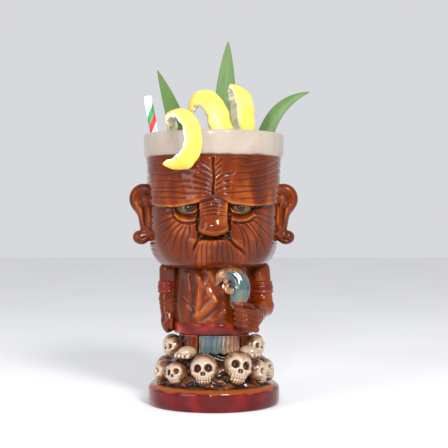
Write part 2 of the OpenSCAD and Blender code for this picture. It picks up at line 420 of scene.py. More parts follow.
def bone_glaze(tree):
    """Beige glaze that has run off the high places and left rust and near black in the hollows."""
    beige, sand = (0.45, 0.34, 0.24), (0.38, 0.25, 0.15)
    rust, umber = (0.17, 0.055, 0.014), (0.04, 0.012, 0.005)
    cloud = noise(tree, 130, 4, 0.5)
    depth = maths(tree, "MULTIPLY_ADD", mark(tree, "hollow"), 0.62, maths(tree, "MULTIPLY", cloud, 0.36))
    depth = maths(tree, "MULTIPLY_ADD", mark(tree, "stain"), 0.42, depth, clamp=True)
    return {
        "Base Color": ramp(tree, depth, (0.12, beige), (0.26, sand), (0.44, rust), (0.62, umber)),
        "Roughness": ramp(tree, cloud, (0.3, 0.16), (0.8, 0.3)),
        "Coat Weight": 0.9,
        "Coat Roughness": 0.05,
        "Normal": bump(tree, noise(tree, 500, 2), 0.1, 0.0003),
    }


def blue_glaze(tree):
    """Mottled turquoise that turns tan on the parts marked warm."""
    ink_and_shade, teal = (0.008, 0.02, 0.026), (0.026, 0.075, 0.09)
    sage, ochre = (0.062, 0.085, 0.07), (0.15, 0.08, 0.024)
    cloud = noise(tree, 170, 4, 0.8, (1, 1, 0.3))
    blue = ramp(tree, cloud, (0.36, ink_and_shade), (0.48, teal), (0.58, sage), (0.68, ochre))
    tan = ramp(tree, noise(tree, 200, 3), (0.35, (0.16, 0.04, 0.006)), (0.65, (0.34, 0.15, 0.04)))
    pooled = maths(tree, "MULTIPLY", mark(tree, "hollow"), 0.8, clamp=True)
    return {
        "Base Color": mix(tree, pooled, mix(tree, mark(tree, "warm"), blue, tan), (0.02, 0.02, 0.02)),
        "Roughness": 0.15,
        "Coat Weight": 1.0,
        "Coat Roughness": 0.04,
    }


def lemon_skin(tree):
    """Waxy yellow rind with pores, and chalky pith where it is marked."""
    rind = ramp(tree, noise(tree, 120, 3), (0.3, (0.82, 0.56, 0.06)), (0.7, (0.9, 0.7, 0.15)))
    pith = ramp(tree, noise(tree, 260, 4), (0.3, (0.9, 0.84, 0.55)), (0.7, (0.93, 0.9, 0.74)))
    side = mark(tree, "pith")
    return {
        "Base Color": mix(tree, side, rind, pith),
        "Roughness": ramp(tree, side, (0, 0.36), (1, 0.75)),
        "Subsurface Weight": 0.15,
        "Subsurface Radius": (0.004, 0.003, 0.001),
        "Subsurface Scale": 0.6,
        "Normal": bump(tree, noise(tree, 700, 2), 0.25, 0.0004),
    }


def leaf_skin(tree):
    """Deep green with paler veins and a paler foot."""
    cloud = noise(tree, 60, 3, 0.3, (1, 1, 0.3))
    green = ramp(tree, cloud, (0.3, (0.025, 0.085, 0.016)), (0.7, (0.07, 0.17, 0.035)))
    wave = maths(tree, "SINE", maths(tree, "MULTIPLY", mark(tree, "across"), 56.0))
    veins = maths(tree, "MULTIPLY_ADD", wave, 0.15, 0.3)
    foot = maths(tree, "MULTIPLY", ramp(tree, mark(tree, "along"), (0.25, 1), (0.6, 0)), 0.45)
    return {
        "Base Color": mix(tree, foot, mix(tree, veins, green, (0.13, 0.27, 0.07)), (0.2, 0.32, 0.1)),
        "Roughness": 0.42,
        "Subsurface Weight": 0.08,
    }


def straw_paper(tree):
    """White paper with a green and a red stripe, and painted shade inside the tube."""
    colour = ramp(tree, noise(tree, 400, 3), (0.3, (0.86, 0.85, 0.82)), (0.7, (0.93, 0.93, 0.91)))
    # Besides the two inks, a grey for painted shade inside the tube.
    ink_and_shades = {"green": (0.03, 0.3, 0.1), "red": (0.62, 0.03, 0.03), "inside": (0.62, 0.6, 0.55)}
    for name, ink_and_shade in ink_and_shades.items():
        colour = mix(tree, mark(tree, name), colour, ink_and_shade)
    return {"Base Color": colour, "Roughness": 0.6}


def pale_floor(tree):
    tint = ramp(tree, noise(tree, 6, 2), (0.3, (0.86, 0.86, 0.87)), (0.7, (0.9, 0.9, 0.9)))
    return {"Base Color": tint, "Roughness": 0.6}


def glazed(name, thin, body, deep, streaks=0.5, roughness=0.12, slot=None):
    """A glaze, paired with a slot name."""
    return painted(f"{name}_look", glaze, thin, body, deep, roughness, streaks), slot or name


# Each look is a material and the slot of the record that it stands for.
BROWN = glazed("brown_glaze", (0.36, 0.088, 0.006), (0.142, 0.019, 0.001), (0.018, 0.003, 0.0006), 0.9)
CREAM = glazed("cream_glaze", (0.54, 0.46, 0.395), (0.47, 0.39, 0.325), (0.2, 0.08, 0.028), 0.2, 0.16)
RED = glazed("red_glaze", (0.36, 0.035, 0.012), (0.2, 0.012, 0.006), (0.06, 0.004, 0.002))
OXBLOOD = glazed("oxblood_glaze", (0.22, 0.05, 0.006), (0.17, 0.006, 0.006), (0.04, 0.002, 0.002), 0.6)
DARK = glazed("dark_glaze", (0.12, 0.03, 0.006), (0.035, 0.009, 0.003), (0.006, 0.002, 0.001), 0.4)
MAROON = glazed("arm_band", (0.3, 0.05, 0.012), (0.12, 0.014, 0.004), (0.03, 0.003, 0.001), slot=BROWN[1])
BONE = painted("bone_glaze_look", bone_glaze), "bone_glaze"
BLUE = painted("blue_glaze_look", blue_glaze), "blue_glaze"
OLIVE = painted("olive_glaze_look", eye_glaze), "olive_glaze"
LEMON = painted("lemon_peel_look", lemon_skin), "lemon_peel"
LEAF = painted("leaf_look", leaf_skin), "leaf"
PAPER = painted("paper_look", straw_paper), "paper"


# ---- the head: its carving is drawn in a front view, as (x, z) ----

JAW = 20.0
HEAD_TOP_Z = RIM_Z + 0.6
EYES = ((-16.6, 133.0), (17.4, 133.2))
BROW_X = (-60, -46, -36, -27, -20, -10.4, -4.6, 0, 5, 11.7, 22, 28, 40, 60)
BROW_Z = (138, 136, 134.6, 133.6, 134.2, 136.2, 138.6, 140.4, 138, 135.6, 134.4, 134.4, 136.4, 138)
NOSE_TIP_Z = 114.0
NOSE_WRINKLES = (138.2, 136, 133.7, 131.3, 128.8)

CREASE = [[(-0.5, 166.4), (-0.1, 154), (-0.2, 141)]]
FEATHER = [
    [(-9, 165), (-0.8, 157.6)], [(-10, 161.4), (-4, 157), (-0.8, 154)], [(-9.8, 157.4), (-0.8, 150.6)],
    [(-14, 155), (-6, 151.6), (-0.8, 147.6)], [(-13.5, 150.6), (-6, 148.4), (-0.8, 145)],
    [(-12.8, 146), (-5.5, 145), (-1, 142.8)], [(6, 165.5), (0.6, 160)], [(5.6, 161.6), (0.6, 156.6)],
    [(5, 157.4), (0.6, 153.2)], [(14, 156.2), (6.2, 154.4), (0.6, 150)], [(12, 151.2), (5, 150), (0.6, 147)],
    [(11, 147), (5, 146.4), (0.6, 144)],
]
FOREHEAD = [
    [(-40, 162), (-28, 161), (-16, 162.6), (-9, 165)], [(-42, 156.4), (-30, 155.2), (-20, 156.6), (-14, 155)],
    [(-42, 151), (-30, 151.4), (-20, 150.2), (-13.5, 150.6)],
    [(-42, 147.2), (-30, 146.4), (-18, 147), (-12.8, 146)],
    [(-41, 143.4), (-28, 144), (-14, 142.6), (-3, 142.4)], [(-40, 140.4), (-28, 140.2), (-16, 139.6)],
    [(8, 163.6), (17, 165.4), (26, 164), (34, 166.4)], [(14, 156.2), (24, 156.6), (34, 160), (43, 165)],
    [(15, 160.4), (24, 160.4), (36, 164.6)], [(12, 151.2), (24, 152.4), (34, 155), (44, 160)],
    [(11, 147), (24, 147.4), (34, 149.6), (45, 154)], [(4, 142.6), (18, 143.6), (30, 145), (44, 148.6)],
    [(14, 139.4), (26, 139.6), (36, 141.6), (45, 144)],
]
CHEEKS = [
    [(-28, 131.2), (-36, 128)], [(-26.5, 128), (-37, 121.8)], [(-24.5, 125.6), (-29, 121), (-36, 115.6)],
    [(-21.8, 123.4), (-27, 117.6), (-34.6, 106)], [(-19.6, 122), (-24.4, 115), (-29.6, 101)],
    [(-18, 121.6), (-21, 112), (-24, 96)], [(-15.8, 122.6), (-15.4, 117), (-18, 110), (-18.6, 95)],
    [(27.6, 134), (39, 133.4)], [(27, 130.6), (39, 127.2)], [(26, 128), (39, 121.6)],
    [(24.8, 125.8), (31, 121.2), (38.4, 113)], [(22.8, 124.2), (29.4, 116), (36.4, 103)],
    [(20.2, 123.6), (26.4, 115.4), (31.6, 100)], [(17.6, 122.6), (22.6, 111.6), (26.4, 97)],
    [(14, 124), (17, 120.4), (20, 110), (20.4, 97)],
]
CHIN_X = (-9.4, -6.6, -3.8, -1, 2, 5, 8, 10.6)
CHIN_LOW = (95, 93, 95.4, 93.4, 96, 93.2, 95.6, 93.4)
CHIN = [[(x, 112.4 - 0.03 * x * x), (x * 1.2, 104), (x * 1.4, low)] for x, low in zip(CHIN_X, CHIN_LOW)]
MOUTH = [[(-13.9, 105), (-12.4, 109), (-8.6, 112.9), (0, 113.5), (8.5, 113.1), (12.6, 111), (15, 107.6)]]
FOLDS = [
    [(-9.8, 118), (-10.4, 113), (-12.8, 107.6), (-15.4, 103)],
    [(9.8, 118), (11.4, 112.6), (14.8, 108.4), (20.4, 104.4), (24.4, 100.8)],
]
NOSE_SIDES = [[(side * 9.4, 138), (side * 10.6, 128), (side * 10.2, 117)] for side in (-1, 1)]

# Each group of cut lines: the lines, how deep and how wide they are, and how they run out at each end.
CARVING = [
    (FEATHER, 0.85, 0.55, (0.12, 0.12)),
    (FOREHEAD, 0.55, 0.55, (0.12, 0.12)),
    (CREASE, 1.5, 0.75, (0.05, 0.05)),
    (CHEEKS, 0.75, 0.6, (0.1, 0.3)),
    (CHIN, 0.6, 0.55, (0.1, 0.25)),
    (MOUTH, 1.9, 0.8, (0.1, 0.1)),
    (FOLDS, 1.7, 0.85, (0.08, 0.3)),
    (NOSE_SIDES, 1.9, 0.8, (0.2, 0.1)),
]


def head_radius(z):
    """The head's outer radius: an elliptical jaw under a nearly straight cone."""
    t = np.clip((z - NECK_Z) / JAW, 0, 1)
    rise = smooth(0, 1, np.clip((z - NECK_Z - JAW) / (RIM_Z - NECK_Z - JAW), 0, 1))
    return CHEEK_R - 13 * (1 - np.sqrt(1 - (1 - t) ** 2)) + (TEMPLE_R - CHEEK_R) * rise


def carved_lines(x, z):
    """All the cut lines of the face, with how deep they are."""
    cuts = np.zeros(x.shape)
    for lines, depth, width, fade in CARVING:
        for line in lines:
            cuts = np.maximum(cuts, depth * line_cut(x, z, line, width, fade))
    return cuts


def eye_relief(x, z, eye_x, eye_z):
    """The rolled lower lid and the bag under one eye, each with a cut line beneath."""
    out = 1 if eye_x > 0 else -1
    lid = [(6.9, 1.2), (4.4, -1.8), (0, -3.0), (-4.2, -2.2), (-6.3, -0.2)]
    bag = [(11.4, 0.4), (9.6, -4), (4.8, -7.2), (-1.2, -8), (-6.2, -7)]

    def placed(line, across=0.0, down=0.0):
        return [(eye_x + out * (a + across), eye_z + b - down) for a, b in line]

    d, _ = distance_to(placed(lid), x, z, 5)
    h = 1.9 * hump(d, 1.0) - 0.7 * line_cut(x, z, placed(lid, 0, 1.9), 0.55)
    d, _ = distance_to(placed(bag), x, z, 6)
    return h + 1.0 * hump(d, 1.3) - 1.2 * line_cut(x, z, placed(bag, 0.3, 1.9), 0.6, (0.05, 0.1))


def face_relief(x, z):
    """How far the carving stands out of the plain head: brow, sockets, cheeks, chin, lip and eyes."""
    side = np.abs(x)
    below = np.interp(x, BROW_X, BROW_Z) - z
    front = 1 - smooth(33, 50, side)
    h = 2.0 * hump(below + 3, 7.5) * smooth(-1.1, 0.3, -below) * front * (1 - 0.55 * hump(x, 5))
    socket = smooth(-0.35, 0.5, below) * hump(below, 6.5)
    h = h - socket * (2.6 * smooth(7, 10, side) * (1 - smooth(27, 33, side)) + 0.9 * front)
    h = h + 1.5 * (hump(x - 21, 9) + hump(x + 21, 9)) * hump(z - 117, 8)
    h = h + smooth(24, 6, side) * smooth(92, 99, z) * smooth(114.5, 111.5, z)
    h = h + 0.9 * hump(z - 110.4, 2.2) * hump(x, 9)
    h = h - 0.5 * hump(side - 18, 6) * hump(z - 107, 7)
    return h + sum(eye_relief(x, z, *eye) for eye in EYES)


def nose_relief(x, z):
    """A broad nose, wrinkled across the bridge, with a flare and a nostril on each side."""
    half = 8.9 + 1.3 * hump(z - 118, 5) + 0.6 * hump(z - 137, 5)
    top = smooth(142.2, 137.5, z + 0.35 * np.abs(x))
    across = np.clip(1 - np.abs(x / half) ** 2.8, 0, 1) ** 0.6
    under = np.sqrt(smooth(NOSE_TIP_Z - 0.3, NOSE_TIP_Z + 3.6, z - 0.035 * x * x))
    height = 2.2 + 6.9 * smooth(139, 119.5, z)
    wrinkles = [[(-8.4, c - 1.3), (0, c + 0.5), (8.4, c - 1.3)] for c in NOSE_WRINKLES]
    wrinkle = sum(line_cut(x, z, line, 0.62, (0.1, 0.1)) for line in wrinkles)
    nose = top * across * under * (height - 0.8 * wrinkle)
    for side in (-1, 1):
        nose = nose + 1.1 * hump(x - side * 7.2, 2.4) * hump(z - 117.4, 2.2) * under
        nose = nose - 1.6 * hump(x - side * 4.6, 1.6) * hump(z - 115, 0.9)
    return nose


def unrolled(angles, r):
    """The front view's x, carried on round the sides to the back."""
    beyond = np.abs(angles) - np.pi / 2
    return np.where(beyond < 0, r * np.sin(angles), np.sign(angles) * r * (1 + beyond))


def on_cylinder(angles, z, r):
    """Points on a cylinder, so that what depends on them has no seam at the back."""
    return np.stack([r * np.sin(angles), r * np.cos(angles), z], -1)


def back_grain(z, angles):
    """Long wavy lines of wood grain round the sides and the back."""
    p = on_cylinder(angles, z, FACE_R)
    spacing = 4.6
    level = (z + 1.5 * ripple(p * (0.3, 0.3, 1), 16, 11) + 2.5 * np.cos(angles)) / spacing
    off = np.abs(level - np.round(level)) * spacing
    strength = smooth(-0.9, 0.3, ripple(p * (0.4, 0.4, 1), 13, 12))
    behind = smooth(58, 76, np.abs(np.degrees(angles)))
    return np.exp(-(off / 0.62) ** 1.6) * strength * behind


def head_angles():
    """Angles round the head from the back, closer together over the face."""
    face = math.radians(66)
    front = np.linspace(-1, 1, 300) * face
    back = np.linspace(face, 2 * np.pi - face, 162)[1:-1]
    return (np.concatenate([front, back]) + np.pi) % (2 * np.pi) - np.pi


def head_heights(angles, z):
    """How far the head's surface stands out of head_radius() at each angle and height."""
    x = unrolled(angles, FACE_R)
    wobble = ripple(np.stack([x, z], -1), 14, 3) * 0.35
    cuts = np.maximum(carved_lines(x + wobble, z + wobble * 0.6), 0.6 * back_grain(z, angles))
    edge = smooth(NECK_Z, NECK_Z + 3, z) * smooth(HEAD_TOP_Z, HEAD_TOP_Z - 3, z)
    swell = 0.35 * ripple(on_cylinder(angles, z, FACE_R), 26, 5)
    nose = nose_relief(x, z)
    h = (face_relief(x, z) + swell - 1.05 * cuts) * edge
    return np.where(nose > 0.3, np.maximum(h, 0) * 0.3 + nose, h + nose)


def head_pooling_and_painted_shade(h):
    """Glaze pooled in the carved lines, from how far each place lies below its near surroundings, plus
    painted shade in broad hollows under the brow, beside the nose and under the mouth, and a little painted
    light on broad raised forms, from how far it lies below its wide surroundings.
    """
    near = soften(h, 14)
    wide = soften(near, 90)
    # The near term is pooled glaze; the wide term is painted shade in broad hollows and painted light on
    # broad raised forms.
    return 0.75 * np.clip((near - h) / 0.9, -0.7, 1) + 0.45 * np.clip((wide - h) / 1.8, -0.25, 1)


def shell(name, look, node, angles, outer, z, hollow, inside):
    """A turned wall with an outer surface given as a grid and an inside outline of (r, z) points."""
    inner_r, inner_z = np.array(inside).T
    columns = len(angles)
    r_all = np.concatenate([outer, np.broadcast_to(inner_r, (columns, len(inside)))], 1)
    marks = np.concatenate([hollow, np.zeros((columns, len(inside)))], 1)
    points = around(angles, r_all, np.concatenate([z, inner_z]))
    build(name, points, grid_faces(columns, r_all.shape[1]), look, node, {"hollow": marks})


def make_head():
    angles = head_angles()
    z = np.linspace(NECK_Z, HEAD_TOP_Z, 188)
    a, zz = np.meshgrid(angles, z, indexing="ij")
    h = head_heights(a, zz)
    cup = [
        (RIM_R - WALL, HEAD_TOP_Z), (RIM_R - WALL, RIM_Z - 6), (TEMPLE_R - WALL - 0.1, RIM_Z - 16),
        (CHEEK_R - 4, RIM_Z - 34), (CUP_R, NECK_Z + 24), (CUP_R, NECK_Z + 16), (CUP_R - 0.7, NECK_Z + 12),
        (CUP_R - 2, NECK_Z + 10), (CUP_R - 5, CUP_FLOOR_Z + 1.4), (CUP_R - 8, CUP_FLOOR_Z),
        (WELL_R + 1.5, CUP_FLOOR_Z - 1), (WELL_R, CUP_FLOOR_Z - 3), (WELL_R, NECK_Z),
    ]
    # The head's hollow mark holds pooled glaze and painted shade.
    shell("head", BROWN, "head_shell", angles, head_radius(zz) + h, z, head_pooling_and_painted_shade(h), cup)


# ---- the rest of the cup ----

CLOTH_FOLDS = [
    # (points over x and z, width, height): positive is a ridge, negative a crease
    ([(-13, 93), (-8, 84), (-1, 75), (6, 68)], 2.2, 1.0), ([(-4, 93), (0, 86), (4, 80)], 2.0, 0.9),
    ([(-11, 92), (-9.4, 80), (-10.6, 66), (-14, 58)], 2, 1.2), ([(-19, 92), (-17, 80), (-18, 66)], 2, 0.8),
    ([(3, 74), (-5, 66), (-14, 58.6)], 2.2, 1.1), ([(9, 66), (4, 61), (-4, 57.4)], 2.0, 0.8),
    ([(-22, 74), (-16, 68), (-11, 62)], 1.2, -0.8), ([(-16, 90), (-13.6, 80), (-14.4, 66)], 1.1, -0.7),
    ([(-7, 92), (-5.4, 82), (-6, 72)], 1.2, -0.7), ([(6, 71), (-1, 64), (-9, 57.6)], 1.2, -0.8),
    ([(12, 92), (9, 84), (5, 76)], 1.8, 0.8), ([(20, 90), (19, 78), (22, 66)], 1.8, 0.8),
]


def make_torso():
    """A barrel with folds of cloth in front and flutes behind, over the narrow well of the cup."""
    angles = full_turn(300)
    z = np.linspace(BELT_Z, NECK_Z, 110)
    a, zz = np.meshgrid(angles, z, indexing="ij")
    x = unrolled(a, TORSO_R)
    place = on_cylinder(a, zz, TORSO_R)
    h = 0.7 - 1.5 * ((zz - 68) / 23) ** 2 + 0.3 * ripple(place, 18, 31)
    for points, width, height in CLOTH_FOLDS:
        d, s = distance_to(points, x, zz, 4 * width)
        h = h + height * hump(d, width) * smooth(0, 0.2, s + 0.02) * smooth(0, 0.25, 1 - s + 0.02)
    h = h + 0.5 * smooth(1.4, 1.9, np.abs(a)) * np.sin(a * 13 + 1.2 * ripple(place, 20, 33))
    hollow = np.clip((soften(h, 14) - h) / 0.95, -1, 0.8)
    corner = [(WELL_R, WELL_Z + 1.5), (WELL_R - 1.5, WELL_Z)]
    well = [(WELL_R, NECK_Z), *corner, (AXIS_R, WELL_Z), (AXIS_R, BELT_Z)]
    shell("torso", BROWN, "torso_shell", angles, TORSO_R + h, z, hollow, well)


def revolve(name, outline, look, node, columns, wobble, seed, pool):
    """A closed outline of (radius, z) turned about the axis, with slight hand-made unevenness."""
    angles = full_turn(columns)
    r, z = outline.T
    p = around(angles, r, z)
    uneven = np.maximum(r - wobble * (1 + ripple(p, 22, seed)) * 0.5, AXIS_R)
    build(name, around(angles, uneven, z), grid_faces(columns, len(outline)), look, node, {"hollow": pool(p)})


def make_rim():
    """The cream band; its lower edge has taken some of the brown."""
    inner = RIM_R - WALL
    corners = [(inner, RIM_Z), (RIM_R - 1.1, RIM_Z), (RIM_R, RIM_Z + 3), (RIM_R, LIP_Z), (inner, LIP_Z)]

    def pool(p):
        return smooth(RIM_Z + 1.3, RIM_Z - 0.2, p[..., 2] + 0.3 * ripple(p, 9, 8))

    revolve("rim", resampled(rounded(corners, 1.9, 7), 1.5), CREAM, "rim_band", 240, 0.35, 2, pool)


def make_disc():
    """The foot: recessed beneath, with a vent, and with brown run over its top edge."""
    vent, recess, sole = 1.5, 35.0, 2.0
    corners = [
        (vent, sole), (recess, sole), (recess, 0), (DISC_R - 1, 0), (DISC_R, 3), (DISC_R, DISC_Z - 2.4),
        (DISC_R - 2.6, DISC_Z), (vent, DISC_Z),
    ]

    def pool(p):
        run = smooth(DISC_Z - 3.4, DISC_Z - 1.2, p[..., 2] + 0.7 * ripple(p, 10, 6))
        return 0.15 + 0.12 * ripple(p, 12, 4) - 1.5 * run

    outline = resampled(rounded(corners, 1.6), 1.4)
    revolve("foot_disc_glazed", outline, OXBLOOD, "foot_disc", 220, 0.3, 3, pool)


def make_belt():
    inner = TORSO_R - 2
    corners = [(inner, BELT_Z), (BELT_R, BELT_Z), (BELT_R, BELT_TOP_Z), (inner, BELT_TOP_Z)]

    def pool(p):
        return np.clip(0.5 * ripple(p, 10, 7), -1, 1)

    revolve("belt_glazed", resampled(rounded(corners, 1.6), 1.2), RED, "belt", 200, 0.5, 9, pool)


def make_mound():
    """The lumpy heap between the skulls."""
    rises = [(38, 0), (35.5, 5), (31.5, 11), (27.5, 18), (24.8, 24)]
    slope = [(r, DISC_Z + up) for r, up in rises]
    outline = resampled(np.array([(AXIS_R, DISC_Z), *slope, (24, BELT_Z), (AXIS_R, BELT_Z)]), 0.9)
    angles = full_turn(240)
    r, z = outline.T
    p = around(angles, r, z)
    lumps = ripple(p, 7, 21) + 0.6 * ripple(p, 3.6, 22)
    h = np.where(r > 20, 0.9 * np.tanh(lumps) - 0.4, 0)
    points = around(angles, np.maximum(r + h, AXIS_R), z)
    marks = {"hollow": np.clip(-0.8 * lumps, -1, 1)}
    build("mound", points, grid_faces(len(angles), len(outline)), DARK, "mound_core", marks)


# ---- what is fired onto the cup, piece by piece ----

SUNK = 0.6
SHOULDER_Z = NECK_Z - 2.5
BAND_Z = NECK_Z - 14
LEG_R = 21.6
FOOT_R = 33.0

RIGHT_ARM = [(-31.3, 0.5, SHOULDER_Z, 6.2), (-32, 1, 70, 5.2), (-31.6, -0.6, 58, 4.6)]
LEFT_ARM = [(32, 0.5, SHOULDER_Z, 6.8), (34, -4, 66.2, 6.7), (26, -22, 60, 6.2), (21.5, -27.5, 60.4, 6.4)]
THUMB = [(24.6, -30, 67.6, 2.4), (18.6, -34, 69.8, 2.2), (13.6, -34, 70.6, 1.8)]

CROOK = [
    (3.4, -28.8, 86.4, 1.8), (6, -29, 89.6, 3.1), (11.6, -29.4, 90.2, 4), (16.6, -29.6, 86, 5),
    (17.6, -30, 79.5, 5.8), (16.4, -30.2, 73, 4.8), (15.6, -30, 69, 3.6),
]
CROOK_GROOVE = [
    (7, -31.8, 91, 0), (12.4, -32.6, 92.4, 0), (18.2, -33, 88.4, 0), (21.4, -33.2, 81, 0),
    (20.6, -33, 73.6, 0),
]
CURL = (9.6, -31.6, 79.4)
WHORL = (10.4, 79.4)

# Each skull: its width, its distance from the axis, and how far it spins, tips and rolls, in degrees.
SKULLS = {
    "lower": [
        (19, 34.5, 4, -6, -3), (19.4, 34.5, -8, -8, 12), (15, 35, 10, -4, -8), (15, 35, -12, -8, 10),
        (15.6, 35, 8, -5, -5), (17, 35, -6, -4, 6), (18, 34.5, 3, -6, -4), (17.4, 35, -10, -6, 8),
        (16, 35, 12, -5, -6), (15, 35, -6, -6, 9), (14.6, 35, 14, -10, -12),
    ],
    "upper": [
        (13, 32, 16, -16, 14), (13.4, 32, -14, -12, -16), (12.6, 31.5, 8, -14, 6), (13, 31.5, -6, -12, -8),
        (13, 31.5, 4, -14, 5), (13, 31.5, -8, -12, 8), (12.6, 31.5, 6, -14, -6),
    ],
}


def model(node, field, look, step=0.42, pad=1.0, marks=None, box=None):
    """A solid made by its distance field, over its CAD node's box with a little room."""
    low, high = box or span(node)
    points, faces, hollow = skin(field, low - pad, high + pad, step)
    values = {key: make(points) for key, make in (marks or {}).items()}
    build(f"{node}_glazed", points, faces, look, node, {"hollow": hollow, **values})


def coordinates(p):
    return p[..., 0], p[..., 1], p[..., 2]


def merged(total, *parts):
    """A solid joined with each (part, fillet) in turn."""
    for part, fillet in parts:
        total = join(total, part, fillet)
    return total


def outside_head(p):
    """Distance from the head's plain surface, positive outside it."""
    x, y, z = coordinates(p)
    return np.maximum(np.hypot(x, y) - head_radius(z).astype(np.float32), NECK_Z - z)


def outside_torso(p):
    return np.hypot(p[..., 0], p[..., 1]) - TORSO_R


def let_in(p, total, depth=SUNK):
    """A solid cut back so that it is let into the torso and the head by a little."""
    return cut(cut(total, outside_torso(p) + depth, 0.4), outside_head(p) + SUNK, 0.4)


def ear_field(side, p):
    """A long ear with a hollow, a raised inner ridge and a stretched lobe."""
    x, y, z = coordinates(p)
    q = np.stack([x * side, y - 1.0, z], -1)
    upper = egg(q, (48.2, 0, 140), (9.9, 4.6, 10.4))
    body = join(upper, rod(q, (45.5, 0, 132), (45.8, 0, 119), 7.4, 4.8), 4)
    lobe = join(ball(q, (51, -0.6, 113.6), 4.7), rod(q, (44, 0, 116.6), (49, 0, 113), 4.6, 4.4), 1.4)
    total = join(body, lobe, 0.9)
    total = cut(total, egg(q, (48, -5.6, 140.6), (6.6, 4.2, 6.8)), 1.2)
    total = cut(total, rod(q, (46.8, -5.6, 135), (46.2, -5.8, 122), 2.7, 1.6), 1.0)
    ridge = egg(q, (46.6, -2.6, 139.2), (3.2, 3, 4.4))
    ridge = join(ridge, rod(q, (46, -3.2, 136), (45.6, -3, 129), 1.5, 0.9), 1.2)
    total = join(total, ridge, 0.8)
    total = cut(total, rod(q, (47, -4.4, 113), (53, -5, 110.6), 0.7), 0.7)
    total = cut(total, rod(q, (57.4, -3.6, 118.6), (47, -5.4, 118), 1.0), 0.9)
    return cut(total, outside_head(p) + 0.8, 0.3)


def right_arm_field(p):
    """An arm that hangs straight, ringed at the wrist, with its fingers down."""
    x, _, z = coordinates(p)
    inner_side = rod(p, (-28, 0.5, SHOULDER_Z + 1), (-28.4, 0, 54), 5.4, 4.2)
    palm = egg(p, (-31.4, -1.8, 54.6), (4.4, 5, 6.6))
    total = merged(chain(p, RIGHT_ARM, 3), (inner_side, 2), (palm, 2))
    for finger_y in (-5.4, -3.1, -0.8, 1.5):
        finger = rod(p, (-33.4, finger_y, 55), (-31.6, finger_y - 0.3, 49.4), 1.35, 1.25)
        total = join(total, finger, 0.35)
    total = join(total, rod(p, (-28.8, -5, 57), (-28.6, -6.2, 51.8), 1.5, 1.3), 0.5)
    total = total + 0.35 * hump(z - 69, 1.0) + 0.3 * hump(z - 66.4, 0.8)
    total = total - 0.16 * np.sin(z * 0.7 + x * 0.5) * smooth(72, 60, z)
    return let_in(p, total)


def left_arm_field(p):
    """An arm bent across the belly, whose fingers close round the foot of the crook."""
    x, y, z = coordinates(p)
    inner_side = rod(p, (28, 0.5, SHOULDER_Z + 1), (29, -4, 62), 5.8, 5.4)
    palm = egg(p, (21, -29.6, 60.2), (7.4, 6.2, 7))
    total = merged(chain(p, LEFT_ARM, 3), (inner_side, 2), (palm, 2))
    for k in range(4):
        up = 65.4 - 3.3 * k
        finger = [(28, -31, up - 2.4, 2.2), (21.4, -35.6, up, 2.2), (14.6, -33.8, up + 1.8, 1.8)]
        total = join(total, chain(p, finger, 0.6), 0.5)
    total = join(total, chain(p, THUMB, 0.5), 0.4)
    total = total + 0.4 * hump(x + y * 0.6 - 17.6, 0.8) * smooth(-12, -16, y)
    total = total + 0.14 * np.cos(z + y * 0.3) * smooth(30, 33, x) * smooth(76, 70, z)
    return let_in(p, total)


def armband_field(arm, r, p):
    """Two cords side by side round the upper arm."""
    z = p[..., 2] - BAND_Z
    around_arm = rod(p, arm[1][:3], arm[0][:3], r)
    band = keep(around_arm, np.abs(z) - 4.3, 1.6)
    band = band + 0.4 * hump(z - 1.9, 0.6) + 0.4 * hump(z + 1.9, 0.6)
    return cut(band, outside_torso(p) + SUNK, 0.4)


def crook_field(p):
    """A stout hook with a beak, a small curl inside it and a groove round its outer edge."""
    x, _, z = coordinates(p)
    beak = rod(p, (6, -29.4, 88.6), (1.8, -29.2, 82.6), 2.6, 1.1)
    curl = join(rod(p, (8.4, -30, 84.6), CURL, 2.0, 2.8), rod(p, CURL, (13, -33, 75), 2.4, 1.2), 1)
    total = merged(chain(p, curve(CROOK, 3), 2.5), (beak, 1.2), (curl, 0.6))
    total = cut(total, chain(p, CROOK_GROOVE, 1) - 0.55, 0.7)
    east, up = x - WHORL[0], z - WHORL[1]
    reach = np.hypot(east, up)
    total = total + 0.4 * np.cos(reach * 2.1 + np.arctan2(up, east)) * smooth(7, 4, reach)
    return let_in(p, total, 0.8)


def crook_warmth(points):
    """1 on the beak and the small curl, 0 on the blue body."""
    x, _, z = coordinates(points)
    beak = smooth(11.5, 7.5, x) * smooth(93, 90, z + 0.3 * x)
    curl = smooth(4.6, 2.8, np.hypot(x - 10, z - WHORL[1]))
    top = 0.75 * smooth(90.6, 92.4, z + 0.25 * np.abs(x - 12))
    return np.clip(beak + 0.7 * curl + top, 0, 1)


def loincloth_field(p):
    """A ribbed apron that hangs from the belt and flares a little."""
    x, y, z = coordinates(p)
    angle = np.arctan2(x, -y) - BODY_TURN
    r = np.hypot(x, y)
    rib = 0.42 * np.cos(angle * 58 + 0.8 * np.sin(z * 0.5))
    front = r - (27.2 + rib + 0.05 * (BELT_Z - z))
    sides = (np.abs(angle) - math.radians(30)) * r
    low = BELT_Z - 12.3 - z + 0.5 * np.cos(angle * 29)
    wall = keep(keep(front, 23.4 - r, 0.6), sides, 1.0)
    return keep(wall, keep(low, z - BELT_Z, 0.6), 1.0)


def loincloth_warmth(points):
    """Some of the loincloth's ribs turn tan towards +X."""
    return 0.85 * smooth(2, 12, points[:, 0] + 1.5 * np.sin(points[:, 2]))


def leg_field(side, p):
    angle = BODY_TURN + side * math.radians(45)
    east, north = LEG_R * math.sin(angle), -LEG_R * math.cos(angle)
    x, y, z = coordinates(p)
    shin = rod(p, (east, north, 50), (east * 1.08, north * 1.08, 40), 6.2, 5.4)
    shin = shin + 0.35 * np.cos(np.arctan2(x - east, north - y) * 11)
    return np.maximum(shin, z - BELT_Z)


